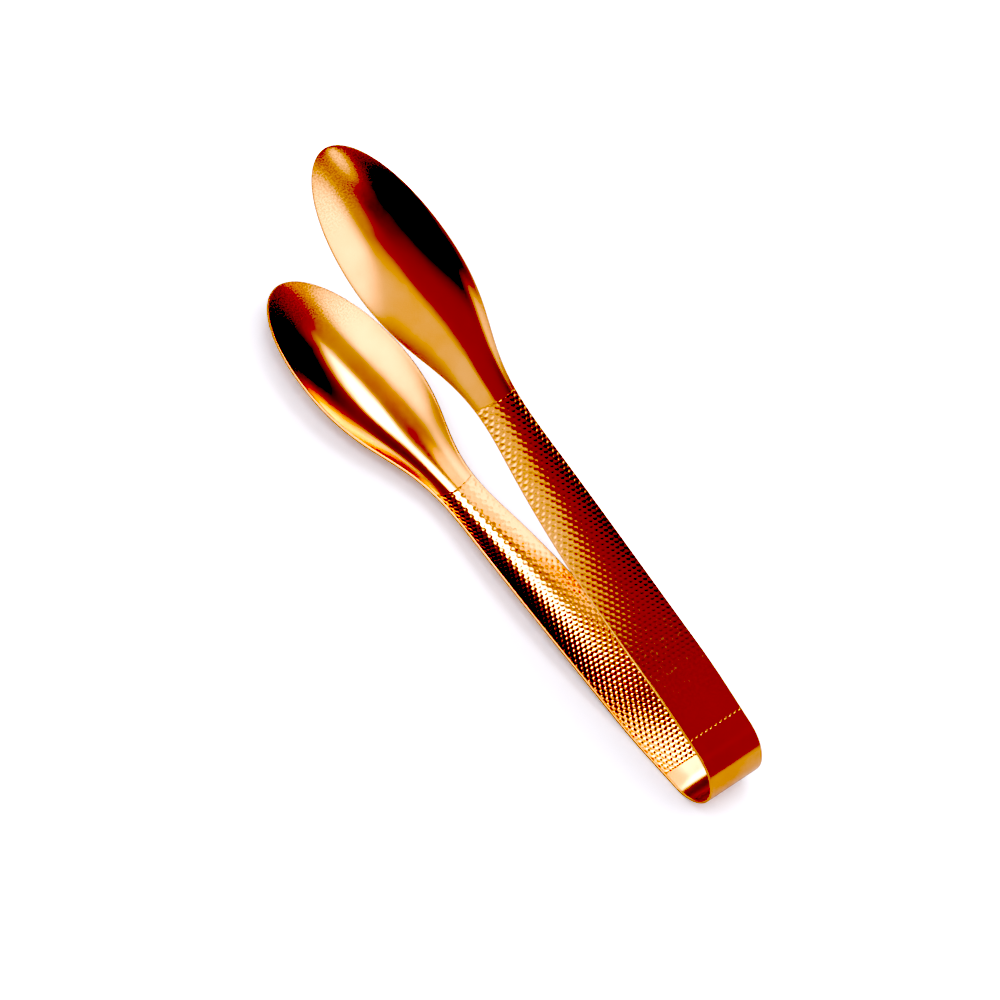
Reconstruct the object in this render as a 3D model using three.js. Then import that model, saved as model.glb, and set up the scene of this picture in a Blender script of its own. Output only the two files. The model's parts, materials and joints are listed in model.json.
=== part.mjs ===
// Ice tongs: one springy strip of copper-plated sheet steel, folded into a bow at the back,
// with a dimpled grip panel, a narrow waist and a leaf-shaped spoon on each arm.
//
// The real tongs are a single pressing, so each node is one forming zone of that strip. The
// zones meet across a cut of CUT millimetres, and the two cuts at the ends of the bow's arc
// are where the strip bends when the arms are squeezed together.
//
// Millimetres. The tongs lie on the lower arm: +X runs from the bow to the spoon tips, +Z is
// up, and the origin is under the middle of the bounding box, on the table.

import * as THREE from 'three';

const { clamp, degToRad, lerp, smoothstep } = THREE.MathUtils;

// ---- driving dimensions ------------------------------------------------------------------

const SHEET = 0.8;          // thickness of the strip
const CUT = 0.3;            // gap between neighbouring zones
const BOW_RADIUS = 9.9;     // radius of the bend, to the middle of the sheet
const LEG_ANGLE = 9.8;      // slope of the straight leg to the tongs' middle plane, degrees
const LEG_END = 23.1;       // where the straight part of the arm ends, along the arm
const PANEL_START = 17.9;   // where the dimpled panel starts, along the arm
const PANEL_END = 111;      // where the dimpled panel ends and the waist starts
const WAIST_END = 124;      // where the spoon's hollow starts
const WIDEST = 151.5;       // where the spoon is widest
const ARM_LENGTH = 185;     // middle of the bow to the spoon's tip, along the arm
const WIDEST_HALF = 14.6;   // half the spoon's width
const HOLLOW_RATIO = 0.35;  // depth of the section's hollow over its half width
const TIP_FLAT = 0.04;      // half width left at the blunt tip, over the widest half width

// Each arm's side view is a chain of tangent arcs: where an arc ends, and its slope there.
const ARM_ARCS = [
  { end: LEG_END, slope: LEG_ANGLE },
  { end: 37, slope: 3 },
  { end: 70, slope: 6.9 },
  { end: 100, slope: 11.7 },
  { end: 118, slope: 7.8 },
  { end: 144, slope: 6.7 },
  { end: ARM_LENGTH, slope: 10.6 },
];

// Half widths of the strip, up to the widest place. The spoon's front is a half ellipse.
const HALF_WIDTHS = [
  { at: 0, half: 8.2 },
  { at: 30, half: 8.4 },
  { at: 70, half: 8.0 },
  { at: 94, half: 6.7 },
  { at: 112, half: 6.2 },
  { at: 122, half: 8.2 },
  { at: 133, half: 11.9 },
  { at: WIDEST, half: WIDEST_HALF },
];

// Facets along and across each zone.
const FACETS = {
  bow: [28, 4],
  leg: [2, 4],
  grip: [28, 8],
  waist: [6, 8],
  spoon: [24, 14],
};
const BACK_SHARE = 10 / 24; // share of the spoon's facets that lie behind its widest place

// ---- materials ---------------------------------------------------------------------------

const polishedCopper = new THREE.MeshStandardMaterial({
  name: 'polished_copper',
  color: 0xe0955a,
  roughness: 0.18,
  metalness: 1,
});

const dimpledCopper = new THREE.MeshStandardMaterial({
  name: 'dimpled_copper',
  color: 0xd98a4e,
  roughness: 0.28,
  metalness: 1,
});

// ---- the strip's shape -------------------------------------------------------------------

const BOW_END = BOW_RADIUS * degToRad(90 - LEG_ANGLE);
const FRONT_LENGTH = ARM_LENGTH - WIDEST;

// The arcs of one arm with their start points, from the middle of the bow to the tip.
function chainArcs() {
  const chain = [];
  let start = { s: 0, x: 0, z: 0, slope: 90 };
  for (const arc of [{ end: BOW_END, slope: LEG_ANGLE }, ...ARM_ARCS]) {
    const piece = { ...start, end: arc.end, turn: (arc.slope - start.slope) / (arc.end - start.s) };
    chain.push(piece);
    start = { s: arc.end, slope: arc.slope, ...alongArc(piece, arc.end) };
  }
  return chain;
}

// The point at distance s on an arc that starts at piece.s and turns by piece.turn per mm.
function alongArc(piece, s) {
  const from = degToRad(piece.slope);
  const turn = degToRad(piece.turn);
  const run = s - piece.s;
  if (Math.abs(turn * run) < 1e-9) {
    return { x: piece.x + run * Math.cos(from), z: piece.z + run * Math.sin(from) };
  }
  const to = from + turn * run;
  return {
    x: piece.x + (Math.sin(to) - Math.sin(from)) / turn,
    z: piece.z + (Math.cos(from) - Math.cos(to)) / turn,
  };
}

const ARCS = chainArcs();

// Side view of the strip's edges at distance s from the middle of the bow.
// A negative s is on the other arm.
function sideView(s) {
  const run = Math.abs(s);
  const piece = ARCS.find((arc) => run <= arc.end) ?? ARCS[ARCS.length - 1];
  const { x, z } = alongArc(piece, run);
  const slope = degToRad(piece.slope + piece.turn * (run - piece.s));
  return s < 0 ? { x, z: -z, slope: Math.PI - slope } : { x, z, slope };
}

// Second derivatives of a cubic spline through the half widths, level at both ends.
function splineBends(points) {
  const n = points.length;
  const step = (i) => points[i + 1].at - points[i].at;
  const rise = (i) => (points[i + 1].half - points[i].half) / step(i);
  const upper = [];
  const right = [];
  for (let i = 0; i < n; i += 1) {
    const before = i > 0 ? step(i - 1) : 0;
    const after = i < n - 1 ? step(i) : 0;
    const jump = (i < n - 1 ? rise(i) : 0) - (i > 0 ? rise(i - 1) : 0);
    const pivot = 2 * (before + after) - (i > 0 ? before * upper[i - 1] : 0);
    upper.push(after / pivot);
    right.push((6 * jump - (i > 0 ? before * right[i - 1] : 0)) / pivot);
  }
  for (let i = n - 2; i >= 0; i -= 1) {
    right[i] -= upper[i] * right[i + 1];
  }
  return right;
}

const BENDS = splineBends(HALF_WIDTHS);

function halfWidth(s) {
  const run = Math.abs(s);
  if (run >= WIDEST) {
    return WIDEST_HALF * Math.sqrt(Math.max(0, 1 - ((run - WIDEST) / FRONT_LENGTH) ** 2));
  }
  const i = HALF_WIDTHS.findIndex((point) => point.at > run) - 1;
  const low = HALF_WIDTHS[i];
  const high = HALF_WIDTHS[i + 1];
  const span = high.at - low.at;
  const b = (run - low.at) / span;
  const a = 1 - b;
  const bend = ((a ** 3 - a) * BENDS[i] + (b ** 3 - b) * BENDS[i + 1]) * span ** 2 / 6;
  return a * low.half + b * high.half + bend;
}

// How far the middle of the section stands outside its two edges.
function hollow(s) {
  const run = Math.abs(s);
  const half = halfWidth(run);
  const depth = HOLLOW_RATIO * half * smoothstep(run, LEG_END, PANEL_END);
  return run > WIDEST ? depth * Math.sqrt(half / WIDEST_HALF) : depth;
}

// A point in the middle of the sheet: s along the strip, u from -1 to 1 across it.
function middle(s, u) {
  const { x, z, slope } = sideView(s);
  const bulge = hollow(s) * (1 - u * u);
  return new THREE.Vector3(
    x - bulge * Math.sin(slope),
    u * halfWidth(s),
    z + bulge * Math.cos(slope),
  );
}

// The sheet's normal, pointing to the outside of the tongs.
function outward(s, u) {
  const small = 0.01;
  const ahead = middle(s + small, u).sub(middle(s - small, u));
  const side = middle(s, u + small).sub(middle(s, u - small));
  return ahead.cross(side).normalize();
}

// ---- zones -------------------------------------------------------------------------------

// Distance along the arm at fraction t of a zone.
const even = (start, end) => (t) => lerp(start, end, t);

// The same for the spoon: even up to its widest place, then crowding towards the round tip.
function crowdedToTip(start) {
  const lastAngle = Math.acos(TIP_FLAT);
  return (t) => {
    if (t < BACK_SHARE) {
      return lerp(start, WIDEST, t / BACK_SHARE);
    }
    const angle = lastAngle * (t - BACK_SHARE) / (1 - BACK_SHARE);
    return WIDEST + FRONT_LENGTH * Math.sin(angle);
  };
}

// One zone of the strip: a flat blank, bent to shape point by point.
function zone(name, along, facets, material) {
  const [length, width] = facets;
  const geometry = new THREE.BoxGeometry(1, 2, SHEET, length, width, 1);
  const blank = geometry.attributes.position;
  for (let i = 0; i < blank.count; i += 1) {
    const s = along(clamp(blank.getX(i) + 0.5, 0, 1));
    const u = blank.getY(i);
    const point = middle(s, u).addScaledVector(outward(s, u), blank.getZ(i));
    blank.setXYZ(i, point.x, point.y, point.z);
  }
  geometry.computeVertexNormals();
  const mesh = new THREE.Mesh(geometry, material);
  mesh.name = name;
  return mesh;
}

function arm(side) {
  const group = new THREE.Group();
  const half = CUT / 2;
  group.add(
    zone(`${side}_leg`, even(BOW_END + half, PANEL_START - half), FACETS.leg, polishedCopper),
    zone(`${side}_grip`, even(PANEL_START + half, PANEL_END - half), FACETS.grip, dimpledCopper),
    zone(`${side}_waist`, even(PANEL_END + half, WAIST_END - half), FACETS.waist, polishedCopper),
    zone(`${side}_spoon`, crowdedToTip(WAIST_END + half), FACETS.spoon, polishedCopper),
  );
  return group;
}

// ---- assembly ----------------------------------------------------------------------------

const bow = zone('bow', even(-BOW_END + CUT / 2, BOW_END - CUT / 2), FACETS.bow, polishedCopper);

const upperArm = arm('upper');

// The lower arm is the upper one turned over about the tongs' long axis.
const lowerArm = arm('lower');
lowerArm.rotation.x = Math.PI;

const tongs = new THREE.Group();
tongs.add(lowerArm, bow, upperArm);

// At rest the lower leg lies flat on the table.
tongs.rotation.y = -degToRad(LEG_ANGLE);

const box = new THREE.Box3().setFromObject(tongs, true);
tongs.position.set(-(box.min.x + box.max.x) / 2, 0, -box.min.z);

const iceTongs = new THREE.Group();
iceTongs.add(tongs);

export default iceTongs;
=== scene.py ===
"""Looks for the ice tongs: one copper-plated strip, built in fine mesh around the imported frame.

The strip's shape is worked out here as it is in the CAD source, in millimetres, in the tongs'
own frame: x runs from the bow to the tips along the middle plane, z is the opening direction.
Each zone of the strip becomes one closed mesh in metres, in the row frame.
"""

import json
import math

import bpy
import numpy as np
from mathutils import Matrix, Vector


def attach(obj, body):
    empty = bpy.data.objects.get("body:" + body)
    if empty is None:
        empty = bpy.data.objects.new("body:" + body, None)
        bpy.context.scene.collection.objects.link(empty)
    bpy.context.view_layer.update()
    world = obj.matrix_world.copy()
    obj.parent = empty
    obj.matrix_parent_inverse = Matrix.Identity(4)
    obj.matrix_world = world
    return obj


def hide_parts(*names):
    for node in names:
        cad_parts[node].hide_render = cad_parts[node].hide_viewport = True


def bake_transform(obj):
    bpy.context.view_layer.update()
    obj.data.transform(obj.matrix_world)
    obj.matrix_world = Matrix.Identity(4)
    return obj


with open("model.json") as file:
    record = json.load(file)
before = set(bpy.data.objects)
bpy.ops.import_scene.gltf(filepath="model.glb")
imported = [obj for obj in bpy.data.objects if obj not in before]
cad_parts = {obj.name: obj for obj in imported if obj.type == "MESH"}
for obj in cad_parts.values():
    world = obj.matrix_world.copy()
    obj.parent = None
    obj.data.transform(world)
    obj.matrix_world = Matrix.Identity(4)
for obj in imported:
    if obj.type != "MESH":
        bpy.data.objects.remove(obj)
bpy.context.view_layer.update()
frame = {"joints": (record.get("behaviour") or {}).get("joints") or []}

# ---- the strip, in millimetres -------------------------------------------------------------

MM = 0.001
SHEET = 0.8
EDGE_ROUND = 0.36           # how far in from the cut edge the sheet's faces are rounded off
BOW_RADIUS = 9.9
LEG_ANGLE = 9.8
LEG_END = 23.1
PANEL_START = 17.9
PANEL_END = 111.0
WAIST_END = 124.0
WIDEST = 151.5
ARM_LENGTH = 185.0
WIDEST_HALF = 14.6
HOLLOW_RATIO = 0.35

# Side view of an arm: a chain of tangent arcs, as (where the arc ends, slope there).
ARM_ARCS = [
    (LEG_END, LEG_ANGLE),
    (37.0, 3.0),
    (70.0, 6.9),
    (100.0, 11.7),
    (118.0, 7.8),
    (144.0, 6.7),
    (ARM_LENGTH, 10.6),
]

# Half widths of the strip up to the widest place of the spoon, as (where, half width).
HALF_WIDTHS = [
    (0.0, 8.2),
    (30.0, 8.4),
    (70.0, 8.0),
    (94.0, 6.7),
    (112.0, 6.2),
    (122.0, 8.2),
    (133.0, 11.9),
    (WIDEST, WIDEST_HALF),
]

BOW_END = BOW_RADIUS * math.radians(90 - LEG_ANGLE)
FRONT_LENGTH = ARM_LENGTH - WIDEST
BEND_BACK = 5.0             # where the visible bow piece ends and the bending pieces start

# Dimples: staggered rows across the grip panels, pressed through from the outside. Each is a
# shallow pan with a steep rim. A row of short dashes closes the panel at both ends.
ROW_PITCH = 1.235
DOT_PITCH = 1.5
DOT_RADIUS = 0.6
DOT_DEPTH = 0.065
OUTER_LEAST = 0.25          # share of the depth left at the bow end, outside the tongs
INNER_LEAST = 0.5           # and the share left at the waist end, inside them
INNER_MOST = 0.85
OUTER_GROWS = (25.0, 60.0)  # where along the strip the outside relief grows to its full depth
INNER_FADES = (50.0, 80.0)  # and where the inside relief fades to its least
DASH_HALF = 0.66
DASH_WIDTH = 0.25
DASH_DEPTH = 0.11
END_BOW = 0.75              # how far the line at the waist bows towards the bow


def smooth(value, low, high):
    t = np.clip((value - low) / (high - low), 0, 1)
    return t * t * (3 - 2 * t)


def arcs():
    """The arcs of one arm as rows of start s, x, z, slope and turn, in radians."""
    rows = []
    s, x, z, slope = 0.0, 0.0, 0.0, math.pi / 2
    for end, degrees in [(BOW_END, LEG_ANGLE)] + ARM_ARCS:
        after = math.radians(degrees)
        turn = (after - slope) / (end - s)
        rows.append((s, x, z, slope, turn))
        if abs(turn) < 1e-9:
            x += (end - s) * math.cos(slope)
            z += (end - s) * math.sin(slope)
        else:
            x += (math.sin(after) - math.sin(slope)) / turn
            z += (math.cos(slope) - math.cos(after)) / turn
        s, slope = end, after
    return np.array(rows)


ARCS = arcs()


def side_view(s):
    """x, z and slope of the strip's edges at distance s from the middle of the bow."""
    run = np.abs(s)
    arc = ARCS[np.searchsorted(ARCS[:, 0], run, side="right") - 1]
    start, x, z, slope, turn = np.moveaxis(arc, -1, 0)
    step = run - start
    after = slope + turn * step
    straight = np.abs(turn) < 1e-9
    safe = np.where(straight, 1.0, turn)
    x = x + np.where(straight, step * np.cos(slope), (np.sin(after) - np.sin(slope)) / safe)
    z = z + np.where(straight, step * np.sin(slope), (np.cos(slope) - np.cos(after)) / safe)
    return x, np.where(s < 0, -z, z), np.where(s < 0, math.pi - after, after)


def spline_bends():
    """Second derivatives of a cubic spline through the half widths, level at both ends."""
    at, half = np.array(HALF_WIDTHS).T
    n = len(at)
    step = np.diff(at)
    rise = np.diff(half) / step
    matrix = np.zeros((n, n))
    right = np.zeros(n)
    for i in range(n):
        if i > 0:
            matrix[i, i - 1] = step[i - 1]
            matrix[i, i] += 2 * step[i - 1]
            right[i] -= 6 * rise[i - 1]
        if i < n - 1:
            matrix[i, i + 1] = step[i]
            matrix[i, i] += 2 * step[i]
            right[i] += 6 * rise[i]
    return np.linalg.solve(matrix, right)


BENDS = spline_bends()


def half_width(s):
    run = np.abs(s)
    at, half = np.array(HALF_WIDTHS).T
    back = np.minimum(run, WIDEST)
    i = np.clip(np.searchsorted(at, back, side="right") - 1, 0, len(at) - 2)
    span = at[i + 1] - at[i]
    b = (back - at[i]) / span
    a = 1 - b
    bend = ((a**3 - a) * BENDS[i] + (b**3 - b) * BENDS[i + 1]) * span**2 / 6
    t = np.clip((run - WIDEST) / FRONT_LENGTH, 0, 1)
    front = WIDEST_HALF * np.sqrt(1 - t * t)
    return np.where(run > WIDEST, front, a * half[i] + b * half[i + 1] + bend)


def hollow(s):
    """How far the middle of the section stands outside its two edges."""
    run = np.abs(s)
    half = half_width(run)
    depth = HOLLOW_RATIO * half * smooth(run, LEG_END, PANEL_END)
    return np.where(run > WIDEST, depth * np.sqrt(half / WIDEST_HALF), depth)


def middle(s, u):
    """Points in the middle of the sheet: s along the strip, u from -1 to 1 across it."""
    x, z, slope = side_view(s)
    bulge = hollow(s) * (1 - u * u)
    return np.stack([x - bulge * np.sin(slope), u * half_width(s), z + bulge * np.cos(slope)], -1)


def outward(s, u):
    """The sheet's normal, pointing to the outside of the tongs."""
    small = 0.01
    inside = np.clip(np.abs(s), 0, ARM_LENGTH - 2 * small) * np.sign(s)
    ahead = middle(inside + small, u) - middle(inside - small, u)
    side = middle(inside, u + small) - middle(inside, u - small)
    normal = np.cross(ahead, side)
    return normal / np.linalg.norm(normal, axis=-1, keepdims=True)


def from_edge(s, u):
    """Roughly how far a point is from the nearest cut edge of the strip."""
    run = np.abs(s)
    half = np.maximum(half_width(run), 1e-6)
    small = 0.01
    slant = (half_width(run + small) - half_width(run - small)) / (2 * small)
    back = (1 - np.abs(u)) * half / np.sqrt(1 + slant**2)
    t = np.clip((run - WIDEST) / FRONT_LENGTH, 0, 1)
    y = u * half / WIDEST_HALF
    steep = 2 * np.sqrt((t / FRONT_LENGTH) ** 2 + (y / WIDEST_HALF) ** 2)
    front = (1 - t * t - y * y) / np.maximum(steep, 1e-6)
    return np.maximum(np.where(run > WIDEST, front, back), 0)


def dimples(s, u):
    """Depth of the dimple pattern, from 0 between the dots to 1 in the middle of one."""
    run = np.abs(s)
    y = u * half_width(s)
    depth = np.zeros_like(run)
    nearest = np.round((run - PANEL_START) / ROW_PITCH)
    for beside in (-1, 0, 1):
        row = nearest + beside
        stagger = 0.5 * np.mod(row, 2)
        dot = np.round(y / DOT_PITCH - stagger) + stagger
        away = np.hypot(run - PANEL_START - row * ROW_PITCH, y - dot * DOT_PITCH)
        depth = np.maximum(depth, 1 - np.clip(away / DOT_RADIUS, 0, 1) ** 3)
    end_line = PANEL_END - END_BOW * (1 - u * u)
    return np.where((run > PANEL_START) & (run < end_line), depth, 0)


def dashes(s, u):
    """Depth of the rows of dashes that close the panel."""
    run = np.abs(s)
    y = u * half_width(s)
    depth = np.zeros_like(run)
    for line in (PANEL_START, PANEL_END - END_BOW * (1 - u * u)):
        dash = y - DOT_PITCH * np.round(y / DOT_PITCH)
        away = np.hypot((run - line) / DASH_WIDTH, dash / DASH_HALF)
        depth = np.maximum(depth, 1 - np.clip(away, 0, 1) ** 2)
    return depth


# ---- the whole strip as one grid -------------------------------------------------------------

ACROSS = 82                 # steps across the sheet, without those of the rounded edges
EDGE_STEPS = 5
EDGE_FROM = 0.9             # where the rounded edge starts in the grid's own count across
PLAIN_STEP = 0.5            # steps along the strip: plain sheet, dimpled panel, its two ends
PANEL_STEP = 0.18
START_STEP = 0.06
WAIST_STEP = 0.07
END_MARGIN = 0.3            # how far the fine steps reach past the panel's ends
RIM_SHARE = 0.3             # most of the half width that a rounded edge may take, at the tips
RELIEF_FADE = (0.1, 0.8)    # distances from the cut edge over which the relief sets in


def across_steps():
    """Positions across the strip from -1 to 1; past EDGE_FROM they lie on the rounded edge."""
    inner = np.linspace(-EDGE_FROM, EDGE_FROM, ACROSS + 1)
    quarter = np.linspace(0, math.pi / 2, EDGE_STEPS + 1)[1:]
    edge = EDGE_FROM + (1 - EDGE_FROM) * np.sin(quarter)
    return np.concatenate([-edge[::-1], inner, edge])


def along_steps():
    """Distances along one arm, with each zone's ends among them."""
    def even(start, end, step):
        return np.linspace(start, end, round((end - start) / step) + 1)[:-1]
    end_line = PANEL_END - END_BOW
    tip = WIDEST + FRONT_LENGTH * np.sin(np.radians(np.arange(0, 90)))
    return np.concatenate([
        even(0, BEND_BACK, PLAIN_STEP),
        even(BEND_BACK, PANEL_START - END_MARGIN, PLAIN_STEP),
        even(PANEL_START - END_MARGIN, PANEL_START, START_STEP),
        even(PANEL_START, PANEL_START + END_MARGIN, START_STEP),
        even(PANEL_START + END_MARGIN, end_line - END_MARGIN, PANEL_STEP),
        even(end_line - END_MARGIN, PANEL_END, WAIST_STEP),
        even(PANEL_END, PANEL_END + END_MARGIN, WAIST_STEP),
        even(PANEL_END + END_MARGIN, WAIST_END, PLAIN_STEP),
        even(WAIST_END, WIDEST, PLAIN_STEP),
        tip,
    ])


def strip_grid():
    """Vertices of the strip: rows along it, and in each row a loop round the section."""
    arm = along_steps()
    s = np.concatenate([-arm[:0:-1], arm])
    v = across_steps()
    loop_v = np.concatenate([v, v[-2:0:-1]])
    side = np.concatenate([np.ones(len(v)), -np.ones(len(v) - 2)])
    side[0] = side[len(v) - 1] = 0
    s_grid, v_grid = np.meshgrid(s, loop_v, indexing="ij")
    side_grid = np.broadcast_to(side, s_grid.shape)
    rim = np.minimum(EDGE_ROUND / np.maximum(half_width(s_grid), 1e-6), RIM_SHARE)
    flat = v_grid / EDGE_FROM * (1 - rim)
    rounded = np.sign(v_grid) * (1 - rim * (1 - np.abs(v_grid)) / (1 - EDGE_FROM))
    u = np.where(np.abs(v_grid) <= EDGE_FROM, flat, rounded)
    edge = from_edge(s_grid, u)
    lean = np.clip(1 - edge / EDGE_ROUND, 0, 1)
    thick = SHEET / 2 * np.sqrt(1 - lean**2)
    y = u * half_width(s_grid)
    fade = smooth(edge, *RELIEF_FADE)
    run = np.abs(s_grid)
    outer_share = OUTER_LEAST + (1 - OUTER_LEAST) * smooth(run, *OUTER_GROWS)
    inner_share = INNER_MOST - (INNER_MOST - INNER_LEAST) * smooth(run, *INNER_FADES)
    share = np.where(side_grid > 0, outer_share, inner_share)
    dot_relief = DOT_DEPTH * share * dimples(s_grid, u)
    relief = fade * np.maximum(dot_relief, DASH_DEPTH * dashes(s_grid, u))
    normal = outward(s_grid, u)
    points = middle(s_grid, u) + normal * (side_grid * thick - relief)[..., None]
    return s, points, s_grid, y


def vertex_normals(points):
    """Area-weighted normals of the grid, whose columns close on themselves."""
    ahead = points[1:] - points[:-1]
    around = np.roll(points, -1, axis=1) - points
    a = np.cross(ahead, around[:-1])
    face = a + np.cross(np.roll(ahead, -1, axis=1), around[1:])
    total = np.zeros_like(points)
    total[:-1] += face
    total[1:] += face
    total += np.roll(total, 1, axis=1)
    return total / np.maximum(np.linalg.norm(total, axis=-1, keepdims=True), 1e-12)


def row_frame():
    """The turn and the shift that take the tongs' own frame to the row frame."""
    lean = math.radians(LEG_ANGLE)
    turn = np.array([
        [math.cos(lean), 0, -math.sin(lean)],
        [0, 1, 0],
        [math.sin(lean), 0, math.cos(lean)],
    ])
    lower = next(j for j in frame["joints"] if j["name"] == "lower_bend")
    x, z, _ = side_view(np.array([-BOW_END]))
    hinge = np.array([x[0], 0, z[0]])
    shift = np.array(lower["pos_m"]) / MM - turn @ hinge
    return turn, shift


TURN, SHIFT = row_frame()


def to_row(points):
    return (points @ TURN.T + SHIFT) * MM


# ---- meshes ----------------------------------------------------------------------------------

UV_SPAN = 100               # millimetres of the strip in one unit of its UV map


def zone_mesh(name, rows, points, normals, along, across, material):
    """A closed mesh of some rows of the strip, smooth outside, with plain faces at its ends."""
    part = points[rows]
    count, around = part.shape[:2]
    index = np.arange(count * around).reshape(count, around)
    a = index[:-1]
    b = index[1:]
    quads = np.stack([a, b, np.roll(b, -1, axis=1), np.roll(a, -1, axis=1)], -1).reshape(-1, 4)
    outer = np.arange(0, around // 2)
    back = (around - outer) % around
    ahead = (around - outer - 1) % around
    ends = []
    for row, flip in ((index[0], False), (index[-1], True)):
        cap = np.stack([row[outer], row[outer + 1], row[ahead], row[back]], -1)
        ends.append(cap[:, ::-1] if flip else cap)
    faces = quads.tolist()
    for quad in np.concatenate(ends).tolist():
        corners = list(dict.fromkeys(quad))
        if len(corners) > 2:
            faces.append(corners)
    mesh = bpy.data.meshes.new(name)
    mesh.from_pydata(to_row(part.reshape(-1, 3)).tolist(), [], faces)
    mesh.shade_smooth()
    uv = mesh.uv_layers.new(name="strip")
    vertex = np.zeros(len(mesh.loops), dtype=np.int64)
    mesh.loops.foreach_get("vertex_index", vertex)
    spot = np.stack([along[rows].ravel(), across[rows].ravel()], -1)[vertex] / UV_SPAN
    uv.data.foreach_set("uv", spot.astype(np.float32).ravel())
    turned = normals[rows].reshape(-1, 3) @ TURN.T
    mesh.normals_split_custom_set_from_vertices(turned.tolist())
    mesh.materials.append(material)
    obj = bpy.data.objects.new(name, mesh)
    bpy.context.scene.collection.objects.link(obj)
    return obj


# ---- materials -------------------------------------------------------------------------------

# Reflected colours of the plate. The places below are fractions of UV_SPAN along the strip:
# the stain lies on the upper grip near the bow, and the specks on both tips.
TINT = (0.955, 0.67, 0.52, 1)
CLOUD_TINT = (0.975, 0.705, 0.55, 1)
STAIN_TINT = (1.0, 0.78, 0.57, 1)
SPECK_TINT = (0.83, 0.58, 0.45, 1)
CLOUD_NOISE = (7.0, 6.0)    # scale and detail of each noise, then the span of it that is used
CLOUD_SPAN = (0.4, 0.66)
STAIN_NOISE = (105.0, 5.0)
STAIN_SPAN = (0.42, 0.68)
SPECK_NOISE = (230.0, 2.0)
SPECK_SPAN = (0.44, 0.56)
POLISH_NOISE = (9.0, 3.0)
POLISH_SPAN = (0.3, 0.7)
STAIN_FADE_IN = (0.18, 0.34)
STAIN_FADE_OUT = (0.42, 0.6)
SPECKS_FADE_IN = (1.62, 1.8)
DULL_FADE_IN = (1.66, 1.82)
TIP_DULLNESS = 0.2
POLISHED_ROUGHNESS = 0.18
DIMPLED_ROUGHNESS = 0.16


def blend_colour(links, nodes, factor, a, b):
    """Colour a turning into colour b; a is a plain colour or a node's output."""
    node = nodes.new("ShaderNodeMix")
    node.data_type = "RGBA"
    links.new(factor, node.inputs["Factor"])
    if isinstance(a, tuple):
        node.inputs["A"].default_value = a
    else:
        links.new(a, node.inputs["A"])
    node.inputs["B"].default_value = b
    return node.outputs["Result"]


def copper(name, roughness):
    """Polished copper plate, faintly clouded, stained on the upper grip, speckled at the tips."""
    material = bpy.data.materials.new(name)
    material.use_nodes = True
    nodes = material.node_tree.nodes
    links = material.node_tree.links
    shader = nodes["Principled BSDF"]
    shader.inputs["Metallic"].default_value = 1.0

    def noise(scale, detail):
        node = nodes.new("ShaderNodeTexNoise")
        node.inputs["Scale"].default_value = scale
        node.inputs["Detail"].default_value = detail
        links.new(uv.outputs["UV"], node.inputs["Vector"])
        return node.outputs["Fac"]

    def remap(value, span, to_low, to_high):
        node = nodes.new("ShaderNodeMapRange")
        for socket, number in zip(node.inputs[1:5], (*span, to_low, to_high)):
            socket.default_value = number
        links.new(value, node.inputs["Value"])
        return node.outputs["Result"]

    def multiply(a, b):
        node = nodes.new("ShaderNodeMath")
        node.operation = "MULTIPLY"
        links.new(a, node.inputs[0])
        links.new(b, node.inputs[1])
        return node.outputs[0]

    uv = nodes.new("ShaderNodeUVMap")
    uv.uv_map = "strip"
    along = nodes.new("ShaderNodeSeparateXYZ")
    links.new(uv.outputs["UV"], along.inputs[0])
    run = nodes.new("ShaderNodeMath")
    run.operation = "ABSOLUTE"
    links.new(along.outputs["X"], run.inputs[0])

    cloud = remap(noise(*CLOUD_NOISE), CLOUD_SPAN, 0, 1)
    stain_zone = multiply(
        remap(along.outputs["X"], STAIN_FADE_IN, 0, 1),
        remap(along.outputs["X"], STAIN_FADE_OUT, 1, 0),
    )
    stain = multiply(stain_zone, remap(noise(*STAIN_NOISE), STAIN_SPAN, 0, 1))
    tip_zone = remap(run.outputs[0], SPECKS_FADE_IN, 0, 1)
    specks = multiply(tip_zone, remap(noise(*SPECK_NOISE), SPECK_SPAN, 0, 1))
    tint = blend_colour(links, nodes, cloud, TINT, CLOUD_TINT)
    tint = blend_colour(links, nodes, stain, tint, STAIN_TINT)
    tint = blend_colour(links, nodes, specks, tint, SPECK_TINT)
    links.new(tint, shader.inputs["Base Color"])

    uneven = remap(noise(*POLISH_NOISE), POLISH_SPAN, roughness * 0.85, roughness * 1.15)
    dull = remap(run.outputs[0], DULL_FADE_IN, 0, TIP_DULLNESS)
    rough = nodes.new("ShaderNodeMath")
    rough.operation = "ADD"
    links.new(uneven, rough.inputs[0])
    links.new(dull, rough.inputs[1])
    links.new(rough.outputs[0], shader.inputs["Roughness"])
    return material


# The floor's colour and glow as the camera sees them, where the copper mirrors it, and where two
# copper faces mirror it in turn. The glow is painted light that lifts the floor's shadows; the
# greyer colour and fainter glow in the copper's mirror are painted shade, and the bluish glow
# after two mirrorings is a painted reflection.
FLOOR_TINT = (0.9, 0.91, 0.96, 1)
FLOOR_PAINTED_SHADE_MIRRORED = (0.65, 0.65, 0.67, 1)
FLOOR_PAINTED_GLOW = (0.171, 0.173, 0.18, 1)
FLOOR_PAINTED_GLOW_MIRRORED = (0.085, 0.086, 0.09, 1)
FLOOR_PAINTED_GLOW_MIRRORED_TWICE = (0.3, 0.7, 1.1, 1)


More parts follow.
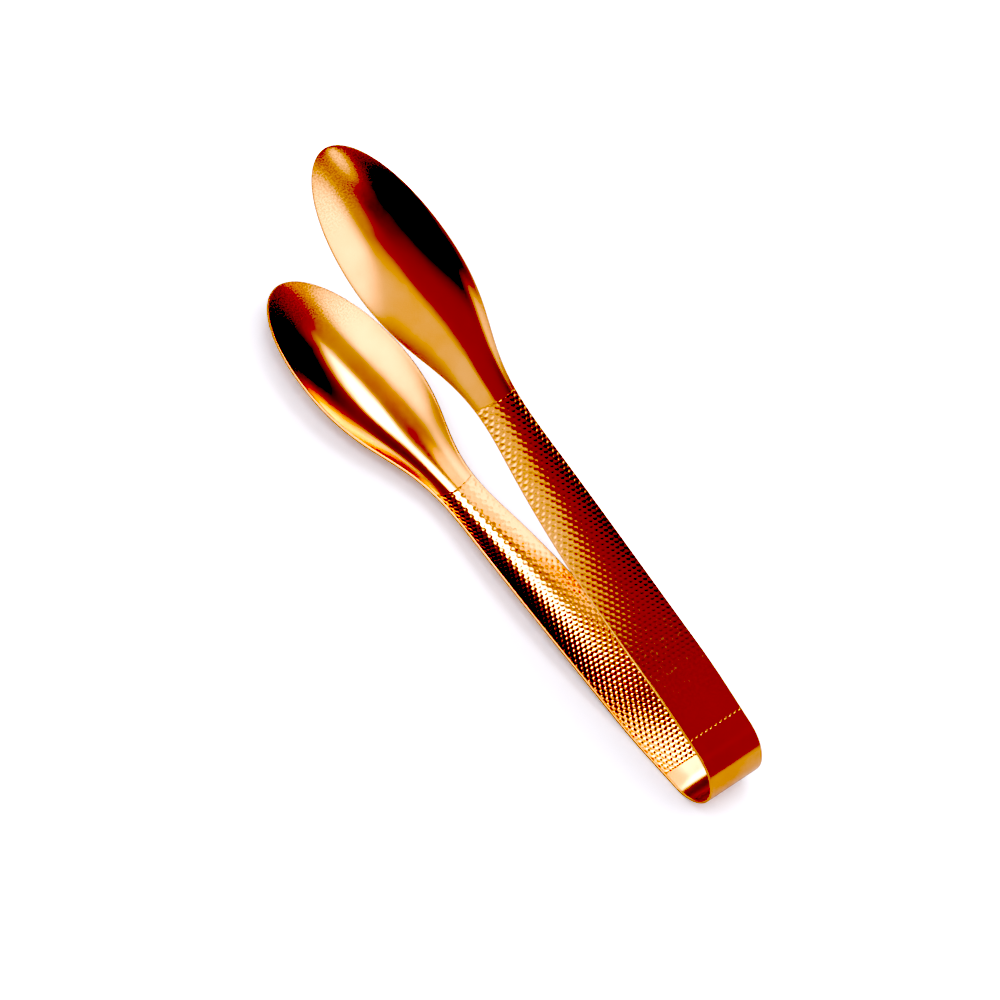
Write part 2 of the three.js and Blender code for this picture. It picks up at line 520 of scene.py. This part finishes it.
def floor_material():
    """A softly glowing floor, its glow painted light that lifts its shadows: white to the eye,
    greyer where the copper mirrors it once (painted shade), bluish where two copper faces mirror
    it (painted reflection).
    """
    material = bpy.data.materials.new("pale_floor")
    material.use_nodes = True
    nodes = material.node_tree.nodes
    links = material.node_tree.links
    shader = nodes["Principled BSDF"]
    shader.inputs["Roughness"].default_value = 0.9
    shader.inputs["Specular IOR Level"].default_value = 0.0
    shader.inputs["Emission Strength"].default_value = 1.0
    ray = nodes.new("ShaderNodeLightPath")
    once = nodes.new("ShaderNodeMath")
    once.operation = "COMPARE"
    links.new(ray.outputs["Glossy Depth"], once.inputs[0])
    once.inputs[1].default_value = 1.0
    once.inputs[2].default_value = 0.1
    twice = nodes.new("ShaderNodeMapRange")
    twice.inputs["From Min"].default_value = 1.0
    twice.inputs["From Max"].default_value = 2.0
    links.new(ray.outputs["Glossy Depth"], twice.inputs["Value"])

    # Painted shade: the floor's colour turns greyer where the copper mirrors it once.
    shade = blend_colour(links, nodes, once.outputs[0], FLOOR_TINT, FLOOR_PAINTED_SHADE_MIRRORED)
    links.new(shade, shader.inputs["Base Color"])
    # Painted glow that lifts the floor's shadows, fainter where the copper mirrors it once.
    painted_glow = blend_colour(links, nodes, once.outputs[0], FLOOR_PAINTED_GLOW, FLOOR_PAINTED_GLOW_MIRRORED)
    # Painted reflection: the glow turns bluish where two copper faces mirror the floor.
    painted_glow = blend_colour(links, nodes, twice.outputs["Result"], painted_glow, FLOOR_PAINTED_GLOW_MIRRORED_TWICE)
    links.new(painted_glow, shader.inputs["Emission Color"])
    return material


# ---- the object ------------------------------------------------------------------------------

def build_tongs():
    materials = {
        "polished_copper": copper("polished_copper", POLISHED_ROUGHNESS),
        "dimpled_copper": copper("dimpled_copper", DIMPLED_ROUGHNESS),
    }
    s, points, along, across = strip_grid()
    normals = vertex_normals(points)
    zones = [
        ("bow_sheet", -BEND_BACK, BEND_BACK, "polished_copper", ["bow"]),
        ("lower_bend_sheet", -PANEL_START, -BEND_BACK, "polished_copper", ["lower_leg"]),
        ("lower_grip_sheet", -PANEL_END, -PANEL_START, "dimpled_copper", ["lower_grip"]),
        ("lower_waist_sheet", -WAIST_END, -PANEL_END, "polished_copper", ["lower_waist"]),
        ("lower_spoon_sheet", -ARM_LENGTH, -WAIST_END, "polished_copper", ["lower_spoon"]),
        ("upper_bend_sheet", BEND_BACK, PANEL_START, "polished_copper", ["upper_leg"]),
        ("upper_grip_sheet", PANEL_START, PANEL_END, "dimpled_copper", ["upper_grip"]),
        ("upper_waist_sheet", PANEL_END, WAIST_END, "polished_copper", ["upper_waist"]),
        ("upper_spoon_sheet", WAIST_END, ARM_LENGTH, "polished_copper", ["upper_spoon"]),
    ]
    made = {}
    for name, start, end, slot, nodes in zones:
        rows = np.where((s > start - 1e-6) & (s < end + 1e-6))[0]
        piece = zone_mesh(name, rows, points, normals, along, across, materials[slot])
        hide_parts(*nodes)
        made[name] = piece
    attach(made["bow_sheet"], "bow")
    for side in ("lower", "upper"):
        for zone in ("grip", "waist", "spoon"):
            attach(made[f"{side}_{zone}_sheet"], f"{side}_arm")
    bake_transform(made["lower_bend_sheet"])
    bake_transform(made["upper_bend_sheet"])


# ---- stage, light and camera -------------------------------------------------------------------

FLOOR_REACH = 3.0
FLOOR_GAP = 0.00002         # keeps the floor just clear of the sheet that lies on it


def build_floor():
    mesh = bpy.data.meshes.new("floor")
    reach = FLOOR_REACH
    corners = [(-reach, -reach, 0), (reach, -reach, 0), (reach, reach, 0), (-reach, reach, 0)]
    mesh.from_pydata(corners, [], [(0, 1, 2, 3)])
    mesh.materials.append(floor_material())
    floor = bpy.data.objects.new("floor", mesh)
    floor.location.z = -FLOOR_GAP
    bpy.context.scene.collection.objects.link(floor)


BACKDROP = 1.1              # the studio as the camera itself sees it
STUDIO_DIM = 0.6            # the studio's brightness where no patch lies

# Patches of the studio's walls and ceiling: azimuth range, elevation range, softness in
# degrees, and brightness. Azimuth 0 is +X, 90 is +Y. A later patch covers an earlier one.
PATCHES = [
    ((-70, 22), (64, 100), 12, 0.76),           # warm ceiling
    ((108, 215), (48, 88), 9, 0.89),            # ceiling behind the camera's left shoulder
    ((21, 103), (43, 80), 9, 1.34),             # the large softbox
    ((-122, -95), (12, 75), 5, 0.6),            # far wall
    ((-94, -63), (44, 75), 5, 0.46),            # dark wall
    ((-94, -64), (-8, 48), 5, 0.4),             # black screen
    ((-60, -18), (12, 37), 5, 0.48),            # dark below the window
    ((-59, -38), (40, 60), 3, 2.4),             # the window
    ((4, 100), (0, 30), 10, 1.05),              # white wall on the right
    ((122, 192), (0, 40), 12, 0.85),            # and behind the camera
    ((-62, -44), (-6, 13), 4, 1.2),             # white table edge
    ((-114, -88), (-8, 12), 3, 1.05),           # and its far end
]


def build_world():
    world = bpy.data.worlds.new("studio")
    bpy.context.scene.world = world
    world.use_nodes = True
    nodes = world.node_tree.nodes
    links = world.node_tree.links
    background = nodes["Background"]
    where = nodes.new("ShaderNodeTexCoord")
    split = nodes.new("ShaderNodeSeparateXYZ")
    links.new(where.outputs["Generated"], split.inputs[0])

    def math_node(kind, a, b=None):
        node = nodes.new("ShaderNodeMath")
        node.operation = kind
        for socket, value in zip(node.inputs, (a, b)):
            if value is None:
                continue
            if isinstance(value, (int, float)):
                socket.default_value = value
            else:
                links.new(value, socket)
        return node.outputs[0]

    azimuth = math_node("ARCTAN2", split.outputs["Y"], split.outputs["X"])
    elevation = math_node("ARCSINE", split.outputs["Z"])

    def ramp(value, centre, reach, soft, turns):
        """1 within reach of centre, falling to 0 over soft, all in degrees."""
        away = math_node("SUBTRACT", value, math.radians(centre))
        if turns:
            away = math_node("WRAP", away, math.pi)
            away.node.inputs[2].default_value = -math.pi
        away = math_node("ABSOLUTE", away)
        fall = nodes.new("ShaderNodeMapRange")
        fall.interpolation_type = "SMOOTHSTEP"
        fall.inputs["From Min"].default_value = math.radians(reach + soft)
        fall.inputs["From Max"].default_value = math.radians(reach - soft)
        links.new(away, fall.inputs["Value"])
        return fall.outputs["Result"]

    level = None
    for (a0, a1), (e0, e1), soft, brightness in PATCHES:
        inside = math_node(
            "MULTIPLY",
            ramp(azimuth, (a0 + a1) / 2, (a1 - a0) / 2, soft, True),
            ramp(elevation, (e0 + e1) / 2, (e1 - e0) / 2, soft, False),
        )
        mix = nodes.new("ShaderNodeMix")
        links.new(inside, mix.inputs["Factor"])
        if level is None:
            mix.inputs["A"].default_value = STUDIO_DIM
        else:
            links.new(level, mix.inputs["A"])
        mix.inputs["B"].default_value = brightness
        level = mix.outputs["Result"]
    ray = nodes.new("ShaderNodeLightPath")
    seen = nodes.new("ShaderNodeMix")
    links.new(ray.outputs["Is Camera Ray"], seen.inputs["Factor"])
    links.new(level, seen.inputs["A"])
    seen.inputs["B"].default_value = BACKDROP
    links.new(seen.outputs["Result"], background.inputs["Strength"])
    background.inputs["Color"].default_value = (1, 1, 1, 1)


KEY_SIZE = 2.0
KEY_POWER = 13.0
KEY_PLACE = (-0.3, -0.5, 1.6)


def build_key():
    """The lamp that casts the soft shadow; the copper itself mirrors only the studio."""
    light = bpy.data.lights.new("key", "AREA")
    light.shape = "DISK"
    light.size = KEY_SIZE
    light.energy = KEY_POWER
    key = bpy.data.objects.new("key", light)
    key.location = KEY_PLACE
    key.rotation_euler = (-key.location).to_track_quat("-Z", "Y").to_euler()
    key.visible_glossy = False
    bpy.context.scene.collection.objects.link(key)


# Angles in degrees: azimuth as for the patches, dip below the horizon, roll about the
# line of sight. Place in metres, lens in millimetres.
CAMERA_PLACE = (-0.30866, 0.35251, 0.67741)
CAMERA_AZIMUTH = -48.74
CAMERA_DIP = 54.63
CAMERA_ROLL = 12.3
CAMERA_LENS = 118.8


def build_camera():
    azimuth = math.radians(CAMERA_AZIMUTH)
    dip = math.radians(CAMERA_DIP)
    roll = math.radians(CAMERA_ROLL)
    reach = math.cos(dip)
    ahead = Vector((math.cos(azimuth) * reach, math.sin(azimuth) * reach, -math.sin(dip)))
    level = ahead.cross(Vector((0, 0, 1))).normalized()
    up = level.cross(ahead)
    right = level * math.cos(roll) + up * math.sin(roll)
    up = right.cross(ahead)
    data = bpy.data.cameras.new("camera")
    data.sensor_width = 36
    data.lens = CAMERA_LENS
    data.clip_start = 0.01
    camera = bpy.data.objects.new("camera", data)
    turn = Matrix((right, up, -ahead)).transposed().to_4x4()
    camera.matrix_world = Matrix.Translation(CAMERA_PLACE) @ turn
    bpy.context.scene.collection.objects.link(camera)
    bpy.context.scene.camera = camera


# The grade: all below BLACK goes black and WHITE goes white, with a soft shoulder between.
BLACK = 0.45
WHITE = 1.0
SHOULDER = 0.8
SHOULDER_POINTS = (0.05, 0.15, 0.35, 0.65)


def set_look():
    view = bpy.context.scene.view_settings
    view.view_transform = "Standard"
    view.look = "None"
    view.use_curve_mapping = True
    mapping = view.curve_mapping
    mapping.black_level = (BLACK,) * 3
    mapping.white_level = (WHITE,) * 3
    curve = mapping.curves[3]
    for level in SHOULDER_POINTS:
        curve.points.new(level, level**SHOULDER)
    mapping.update()


build_tongs()
build_floor()
build_world()
build_key()
build_camera()
set_look()
